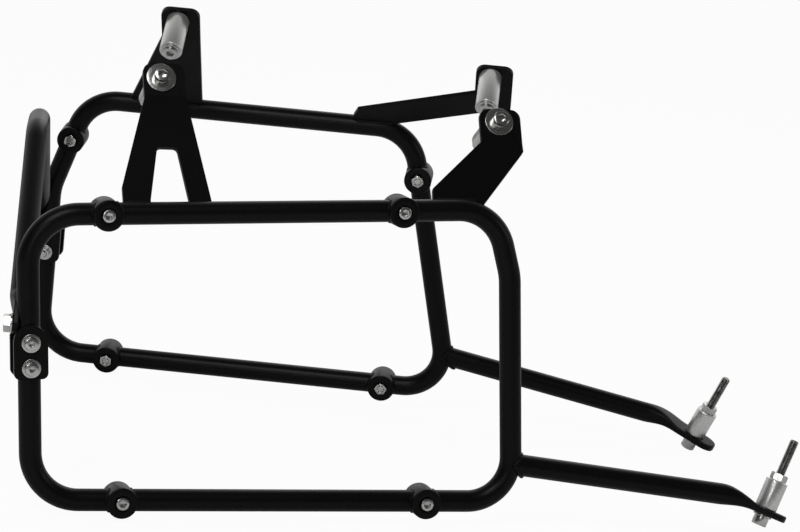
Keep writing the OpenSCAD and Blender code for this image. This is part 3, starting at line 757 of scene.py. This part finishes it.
class PANNIER_OT_clamps(bpy.types.Operator):
    """Cut the clamp plates of the crossbar, with their screws, washers and nuts"""
    bl_idname = "pannier.clamps"
    bl_label = "Make clamps"

    def execute(self, context):
        t = context.scene.pannier_sizes.plate / MM
        angles = np.linspace(0, np.pi, 28)
        w, low, top = CLAMP_HALF_W, CLAMP_FOOT, CLAMP_TOP
        arch = np.column_stack([w * np.cos(angles), CLAMP_ARCH + w * np.sin(angles)])
        foot, _ = rounded([(-w, 0), (-w, low), (w, low), (w, 0)], 5, 8, closed=False)
        outer = np.vstack([foot[1:-1], arch])
        inner, _ = rounded([(-w, low), (w, low), (w, top), (-w, top)], [5, 5, 2, 2], 8)
        holes = [(0, z, 3.2) for z in CLAMP_HOLES]
        middle = CLAMP_FACE + t / 2
        for side, place in CLAMPS.items():
            for name, outline, y in (("outer", outer, -middle), ("inner", inner, middle)):
                node = side + "_" + name + "_clamp"
                add_plate(node + "_plate", [(outline, holes, place @ shift(0, y, 0), None)], t, node)
        spots = [place @ shift(0, 0, z) @ OUTWARD for place in CLAMPS.values() for z in CLAMP_HOLES]
        face = CLAMP_FACE + t
        thick = CLAMP_WASHER[2]
        ring = washer(*CLAMP_WASHER)
        head = moved(socket_head(*CLAMP_HEAD), shift(0, 0, face + thick))
        screw = joined([head, rod(SCREW_D, -face - 8.5, face + 2)])
        screws = copies(screw, [spot @ spin("z", 19 * k) for k, spot in enumerate(spots)])
        add_part("clamp_screw_set", screws, *ZINC, "clamp_screws")
        seats = [spot @ shift(0, 0, face) for spot in spots]
        seats += [spot @ shift(0, 0, -face) @ BACK for spot in spots]
        add_part("clamp_washer_set", copies(ring, seats), *ZINC, "clamp_washers")
        seat = shift(0, 0, -face - thick) @ BACK
        nuts = copies(nut(*SCREW_NUT), [spot @ seat @ spin("z", 31 * k) for k, spot in enumerate(spots)])
        add_part("clamp_nut_set", nuts, *ZINC, "clamp_nuts")
        return {"FINISHED"}


def circle(x, z, r):
    """A round hole's outline."""
    angles = np.linspace(0, 2 * np.pi, 32, endpoint=False)
    return np.column_stack([x + r * np.cos(angles), z + r * np.sin(angles)])


def folded(points, fold):
    """Bend flat points (x, z) about the line z = fold.

    Over a short arc the heading turns evenly to the fold's angle; past it the sheet goes straight on.
    """
    x, z = points[:, 0], points[:, 1]
    angle = np.radians(FOLD)
    arc = FOLD_R * angle
    part = np.clip(z - (fold - arc / 2), 0, arc)
    over = np.maximum(z - (fold + arc / 2), 0)
    under = np.minimum(z, fold - arc / 2)
    turn = part / FOLD_R
    y = -FOLD_R * (1 - np.cos(turn)) - over * np.sin(angle)
    height = under + FOLD_R * np.sin(turn) + over * np.cos(angle)
    return np.column_stack([x, y, height])


def add_plate(name, sheets, t, *nodes):
    """Flat plates cut to outlines with holes, folded where asked, thickened and with softened edges."""
    whole = bmesh.new()
    for outline, holes, place, fold in sheets:
        loops = [np.asarray(outline)] + [circle(*hole) for hole in holes]
        flat = np.vstack(loops)
        triangles = tessellate_polygon([[(x, z, 0.0) for x, z in loop] for loop in loops])
        part = bmesh.new()
        spots = [part.verts.new((x, 0.0, z)) for x, z in flat]
        for triangle in triangles:
            part.faces.new([spots[k] for k in triangle])
        if fold is not None:
            for offset in (-0.63, -0.3, 0.0, 0.3, 0.63):
                bmesh.ops.bisect_plane(part, geom=part.verts[:] + part.edges[:] + part.faces[:],
                                       plane_co=(0, 0, fold + offset), plane_no=(0, 0, 1))
        bmesh.ops.recalc_face_normals(part, faces=part.faces[:])
        copy = bpy.data.meshes.new(name)
        part.to_mesh(copy)
        part.free()
        points = np.empty(len(copy.vertices) * 3)
        copy.vertices.foreach_get("co", points)
        points = points.reshape(-1, 3)
        if fold is not None:
            points = folded(points[:, [0, 2]], fold)
        points = (points @ place[:3, :3].T + place[:3, 3]) * MM
        copy.vertices.foreach_set("co", points.ravel())
        whole.from_mesh(copy)
        bpy.data.meshes.remove(copy)
    mesh = bpy.data.meshes.new(name)
    whole.to_mesh(mesh)
    whole.free()
    mesh.polygons.foreach_set("use_smooth", np.ones(len(mesh.polygons), bool))
    piece = add_piece(name, mesh, *COAT, *nodes)
    wall = piece.modifiers.new("wall", "SOLIDIFY")
    wall.thickness = t * MM
    wall.offset = 0.0
    edge = piece.modifiers.new("edge", "BEVEL")
    edge.width = 0.0005
    edge.segments = 3
    edge.limit_method = "ANGLE"
    edge.angle_limit = np.radians(35)
    edge.harden_normals = True
    return piece


def bracket_sheets(name):
    """The sheets that an upper bracket is cut from: outline, holes, place and fold of each."""
    corners, radii = OUTLINES[name]
    outline, _ = rounded(corners, radii, 7)
    fold = BRACKETS[name][1]
    x, z = BRACKETS[name][2]
    if name == "left_front":
        ear, _ = rounded(EAR, 8, 8)
        return [(outline, [], bracket_frame(name), None), (ear, [(x, z, BOLT_R)], flange_frame(name), None)]
    return [(outline, [(x, fold + z, BOLT_R)], bracket_frame(name), fold)]


def foot_welds(name, t, weld):
    """A bead along each side of each of a bracket's feet."""
    place = bracket_frame(name)
    lines = []
    for low, high in FEET[name]:
        for way in (-1, 1):
            curve = line_curve(place, low, high, way * (t / 2 + 0.4), FOOT_WELD)
            lines.append(bead(curve, np.broadcast_to(place[:3, 2], curve.shape), weld, closed=False))
    return joined(lines)


class PANNIER_OT_brackets(bpy.types.Operator):
    """Cut and fold the four upper brackets, with their spacers, bolts, washers and nuts"""
    bl_idname = "pannier.brackets"
    bl_label = "Make brackets"

    def execute(self, context):
        sizes = context.scene.pannier_sizes
        t, weld = sizes.plate / MM, sizes.bead / MM
        for name in OUTLINES:
            add_plate(name + "_plate", bracket_sheets(name), t, name + "_bracket")
            add_part(name + "_weld", foot_welds(name, t, weld), *COAT)
        # Local z points out of the hoop: the bolt's near face is outside, the spacer's far end inside
        right = [flange_hole("right_rear"), flange_hole("right_front")]
        left = [flange_hole("left_rear"), flange_hole("left_front")]
        thick = BOLT_WASHER[2]
        face, end = t / 2, t / 2 + UPPER_SPACER[1]
        under = -end - thick
        spacers = copies(sleeve(*UPPER_SPACER), [hole @ shift(0, 0, -face) @ BACK for hole in right + left])
        add_part("bracket_spacer_set", spacers, *TURNED, "bracket_spacers")
        outside = copies(washer(*WIDE_WASHER), [hole @ shift(0, 0, face) for hole in right])
        inside = copies(washer(*SMALL_WASHER), [hole @ shift(0, 0, -end) @ BACK for hole in right + left])
        rings = joined([outside, inside])
        add_part("bracket_washer_set", rings, *ZINC, "bracket_washers")
        head = socket_head(*BOLT_HEAD)
        tail = thread(BOLT_D, under - 8, under, sizes.pitch / MM)
        outer = joined([moved(head, shift(0, 0, face + thick)), rod(BOLT_D, under - 2, face + 2), tail])
        inner = joined([moved(head, shift(0, 0, -end + 3.6) @ BACK), rod(BOLT_D, -end + 3, face + 0.9)])
        bolts = joined([copies(outer, [hole @ spin("z", 20) for hole in right]), copies(inner, left)])
        add_part("bracket_bolt_set", bolts, *ZINC, "bracket_bolts")
        nuts = copies(nut(*BOLT_NUT), [hole @ shift(0, 0, under) @ BACK for hole in right])
        add_part("bracket_nut_pair", nuts, *ZINC, "bracket_nuts")
        return {"FINISHED"}


def arm_line(side):
    """An arm's root, direction and length up to its flat end, with the directions across and over it."""
    tip = shift(*ARM_TIP[side]) @ ARM_TURN
    s, t = ARM_ROOT[side]
    root = (HOOP_PLANE[side] @ [s, 0, t, 1])[:3]
    end = (tip @ [-ARM_PRESS, 0, ARM_RISE[side], 1])[:3]
    length = np.linalg.norm(end - root)
    way = (end - root) / length
    wide = tip[:3, 1] - way * (tip[:3, 1] @ way)
    wide = wide / np.linalg.norm(wide)
    return root, way, length, wide, np.cross(way, wide)


def arm_tube(side, tube):
    """An arm: a round section that flows into a flat end with a round nose.

    Centre, directions, half width, half height and squareness all pass from the tube's to the flat
    end's by one smooth step along the arm. The nose narrows as the square root of a radius squared
    less the square of the distance past the nose's middle.
    """
    root, way, length, wide, high = arm_line(side)
    tip = shift(*ARM_TIP[side]) @ ARM_TURN
    along, across, up = tip[:3, 0], tip[:3, 1], tip[:3, 2]
    u = np.concatenate([np.linspace(0, length - 18, 6), length + np.linspace(-16, 59, 76)])
    x = u - length - ARM_PRESS
    before, over = ARM_OPEN
    blend = smooth_step(u - length + before, over)
    share = blend[:, None]
    centres = (root + u[:, None] * way) * (1 - share) + (tip[:3, 3] + x[:, None] * along) * share
    past = np.clip(x - NOSE_AT, 0, TIP_HALF_W)
    nose = np.sqrt(np.clip(NOSE_SQUARE - past ** 2, 0.6, None)) / NOSE_R
    half_w = (tube / 2 + (TIP_HALF_W - tube / 2) * blend) * np.where(x > NOSE_AT, nose, 1)
    half_h = (tube / 2 + (TIP_HALF_T - tube / 2) * blend) * np.where(x > NOSE_RIM, 0.8, 1)
    wide = wide * (1 - share) + across * share
    high = high * (1 - share) + up * share
    return pipe(centres, wide, high, half_w, half_h, 2 + 4 * blend, columns=64)


def arm_weld(side, tube, weld):
    """A bead where an arm's tube, run along its axis, meets the rail's tube.

    The way to the rail's surface is the larger root of a quadratic equation: the distance from the
    rail's axis is the tube's radius.
    """
    root, way, _, wide, high = arm_line(side)
    rail = (HOOP_PLANE[side] @ spin("y", RAIL_LEAN[side]))[:3, 2]
    phi = np.linspace(0, 2 * np.pi, 140, endpoint=False)[:, None]
    q = tube / 2 * (np.cos(phi) * wide + np.sin(phi) * high)
    q_cross = q - (q @ rail)[:, None] * rail
    v_cross = way - (way @ rail) * rail
    a, b = v_cross @ v_cross, q_cross @ v_cross
    c = (q_cross * q_cross).sum(1) - (tube / 2) ** 2
    reach = (-b + np.sqrt(np.maximum(b * b - a * c, 0))) / a
    curve = root + q + reach[:, None] * way
    return bead(curve, np.broadcast_to(way, curve.shape), 1.2 * weld)


class PANNIER_OT_arms(bpy.types.Operator):
    """Make the lower arms with their pressed tips, spacers and threaded studs"""
    bl_idname = "pannier.arms"
    bl_label = "Make arms"

    def execute(self, context):
        sizes = context.scene.pannier_sizes
        tube, weld = sizes.tube / MM, sizes.bead / MM
        for side in ("right", "left"):
            arm = joined([arm_tube(side, tube), arm_weld(side, tube, weld)])
            part = moved(arm, on_side(side, np.eye(4)))
            add_part(side + "_arm_tube", part, *COAT, side + "_arm")
        tips = [tip_frame("right"), tip_frame("left")]
        under = -TIP_HALF_T - BOLT_WASHER[2]
        top = TIP_HALF_T + ARM_SPACER[1]
        spacers = copies(sleeve(*ARM_SPACER), [tip @ shift(0, 0, TIP_HALF_T) for tip in tips])
        add_part("arm_spacer_pair", spacers, *TURNED, "arm_spacers")
        rings = copies(washer(*BOLT_WASHER), [tip @ shift(0, 0, under) for tip in tips])
        add_part("arm_washer_pair", rings, *ZINC, "arm_washers")
        head = moved(socket_head(*BOLT_HEAD), shift(0, 0, under) @ BACK)
        bolts = copies(joined([head, rod(SHANK_D, -5, 33)]), tips)
        add_part("arm_bolt_pair", bolts, *ZINC, "arm_bolts")
        studs = copies(thread(BOLT_D, *STUD, sizes.pitch / MM), tips)
        add_part("arm_stud_thread", studs, "thread_steel", "fixings", "arm_bolts")
        nuts = copies(nut(*ARM_NUT), [tip @ shift(0, 0, top) @ spin("z", 12) for tip in tips])
        add_part("arm_nut_pair", nuts, *ZINC, "arm_nuts")
        return {"FINISHED"}


# Floor, light and camera: what is seen of the floor and the world is the photo's white

CAMERA_PLACE = (-0.0632, -2.4714, 0.7267)
CAMERA_VIEW = (0.1074, 0.9692, -0.2217)
CAMERA_RIGHT = (0.9922, -0.0905, 0.0852)
# Focal length in pixels of a picture this wide, and the sensor's width in millimetres
FOCAL = 2942
PICTURE = 800
SENSOR = 36
# Name, place, point lit, width and power of each lamp
LAMPS = [
    ("main_softbox", (-0.8, -1.7, 2.2), (0, 0, 0.15), 1.2, 28.0),
    ("rear_softbox", (0.5, 1.9, 1.5), (0, 0, 0.15), 1.2, 5.0),
    ("front_softbox", (-0.7, -2.3, 0.85), (0.3, 0, 0.1), 0.5, 4.0),
    ("side_softbox", (2.2, -0.8, 1.0), (0, 0, 0.15), 0.8, 6.0),
]


def add_floor(scene):
    """A pale floor that the camera sees nearly white, with a little shadow left."""
    mesh = bpy.data.meshes.new("floor")
    mesh.from_pydata([(-9, -9, 0), (9, -9, 0), (9, 9, 0), (-9, 9, 0)], [], [(0, 1, 2, 3)])
    floor = bpy.data.objects.new("floor", mesh)
    scene.collection.objects.link(floor)
    pale = Finish("pale_floor", 0.9, specular=0.0)
    pale.shader.inputs["Base Color"].default_value = shade(0.9)
    seen = pale.node("ShaderNodeLightPath", out="Is Camera Ray")
    glow = pale.node("ShaderNodeEmission", {}, {"Color": shade(1.0), "Strength": 1.0})
    plain = Wire(pale, pale.shader.outputs[0])
    mixed = pale.node("ShaderNodeMixShader", {}, {0: seen * 0.95, 1: plain, 2: glow})
    pale.tree.links.new(mixed.socket, pale.tree.nodes["Material Output"].inputs["Surface"])
    mesh.materials.append(pale.material)


def add_world(scene):
    """A world that lights from behind the object, is dim in front, and is white to the camera."""
    world = bpy.data.worlds.new("studio")
    scene.world = world
    world.use_nodes = True
    studio = Nodes(world.node_tree)
    backdrop = world.node_tree.nodes["Background"]
    backdrop.inputs["Color"].default_value = shade(1.0)
    heading = studio.node("ShaderNodeTexCoord", out="Generated")
    depth = studio.node("ShaderNodeSeparateXYZ", {}, {0: heading}, 1)
    height = studio.node("ShaderNodeSeparateXYZ", {}, {0: heading}, 2)
    level = depth * 1.15 - height * 0.1 + 0.12
    lit = studio.node("ShaderNodeClamp", {}, {0: level, 1: 0.07, 2: 1.0})
    seen = studio.node("ShaderNodeLightPath", out="Is Camera Ray")
    strength = seen + (1 - seen) * lit
    studio.tree.links.new(strength.socket, backdrop.inputs["Strength"])


def add_lamp(scene, name, place, target, width, power):
    """A square softbox that faces a point."""
    lamp = bpy.data.lights.new(name, "AREA")
    lamp.shape = "SQUARE"
    lamp.size = width
    lamp.energy = power
    holder = bpy.data.objects.new(name, lamp)
    facing = (Vector(place) - Vector(target)).to_track_quat("Z", "Y")
    holder.matrix_world = Matrix.Translation(place) @ facing.to_matrix().to_4x4()
    scene.collection.objects.link(holder)


def add_camera(scene):
    """The photograph's camera, placed against the frame before it was set down."""
    view = np.array(CAMERA_VIEW)
    view /= np.linalg.norm(view)
    right = np.array(CAMERA_RIGHT)
    right -= view * (right @ view)
    right /= np.linalg.norm(right)
    stand = REST.copy()
    stand[:3, 3] *= MM
    matrix = np.eye(4)
    matrix[:3, 0] = right
    matrix[:3, 1] = np.cross(right, view)
    matrix[:3, 2] = -view
    matrix[:3, 3] = CAMERA_PLACE
    camera = bpy.data.cameras.new("camera")
    camera.sensor_width = SENSOR
    camera.lens = FOCAL * SENSOR / PICTURE
    camera.shift_x = 0.001
    camera.shift_y = 0.0039
    holder = bpy.data.objects.new("camera", camera)
    holder.matrix_world = Matrix((stand @ matrix).tolist())
    scene.collection.objects.link(holder)
    scene.camera = holder


class PANNIER_OT_stage(bpy.types.Operator):
    """Set the floor, the light and the camera at the photograph's angle"""
    bl_idname = "pannier.stage"
    bl_label = "Set stage"

    def execute(self, context):
        scene = context.scene
        add_floor(scene)
        add_world(scene)
        for lamp in LAMPS:
            add_lamp(scene, *lamp)
        add_camera(scene)
        scene.view_settings.view_transform = "Standard"
        return {"FINISHED"}


STEPS = (PANNIER_OT_finishes, PANNIER_OT_hoops, PANNIER_OT_bosses, PANNIER_OT_crossbar, PANNIER_OT_clamps,
         PANNIER_OT_brackets, PANNIER_OT_arms, PANNIER_OT_stage)


class PANNIER_PT_panel(bpy.types.Panel):
    """Sizes, colours and steps of the pannier frame"""
    bl_label = "Pannier frame"
    bl_idname = "PANNIER_PT_panel"
    bl_space_type = "VIEW_3D"
    bl_region_type = "UI"
    bl_category = "Pannier frame"

    def draw(self, context):
        for group in (context.scene.pannier_sizes, context.scene.pannier_colours):
            for name in group.bl_rna.properties.keys():
                if name not in ("rna_type", "name"):
                    self.layout.prop(group, name)
        for step in STEPS:
            self.layout.operator(step.bl_idname)


CLASSES = (PannierSizes, PannierColours) + STEPS + (PANNIER_PT_panel,)


def register():
    """Register the classes and the scene's sizes and colours."""
    for item in CLASSES:
        bpy.utils.register_class(item)
    bpy.types.Scene.pannier_sizes = bpy.props.PointerProperty(type=PannierSizes)
    bpy.types.Scene.pannier_colours = bpy.props.PointerProperty(type=PannierColours)


def unregister():
    """Take back what register did."""
    del bpy.types.Scene.pannier_colours
    del bpy.types.Scene.pannier_sizes
    for item in reversed(CLASSES):
        bpy.utils.unregister_class(item)


def main():
    """Register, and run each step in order."""
    register()
    bpy.ops.pannier.finishes()
    bpy.ops.pannier.hoops()
    bpy.ops.pannier.bosses()
    bpy.ops.pannier.crossbar()
    bpy.ops.pannier.clamps()
    bpy.ops.pannier.brackets()
    bpy.ops.pannier.arms()
    bpy.ops.pannier.stage()


if __name__ == "__main__":
    main()
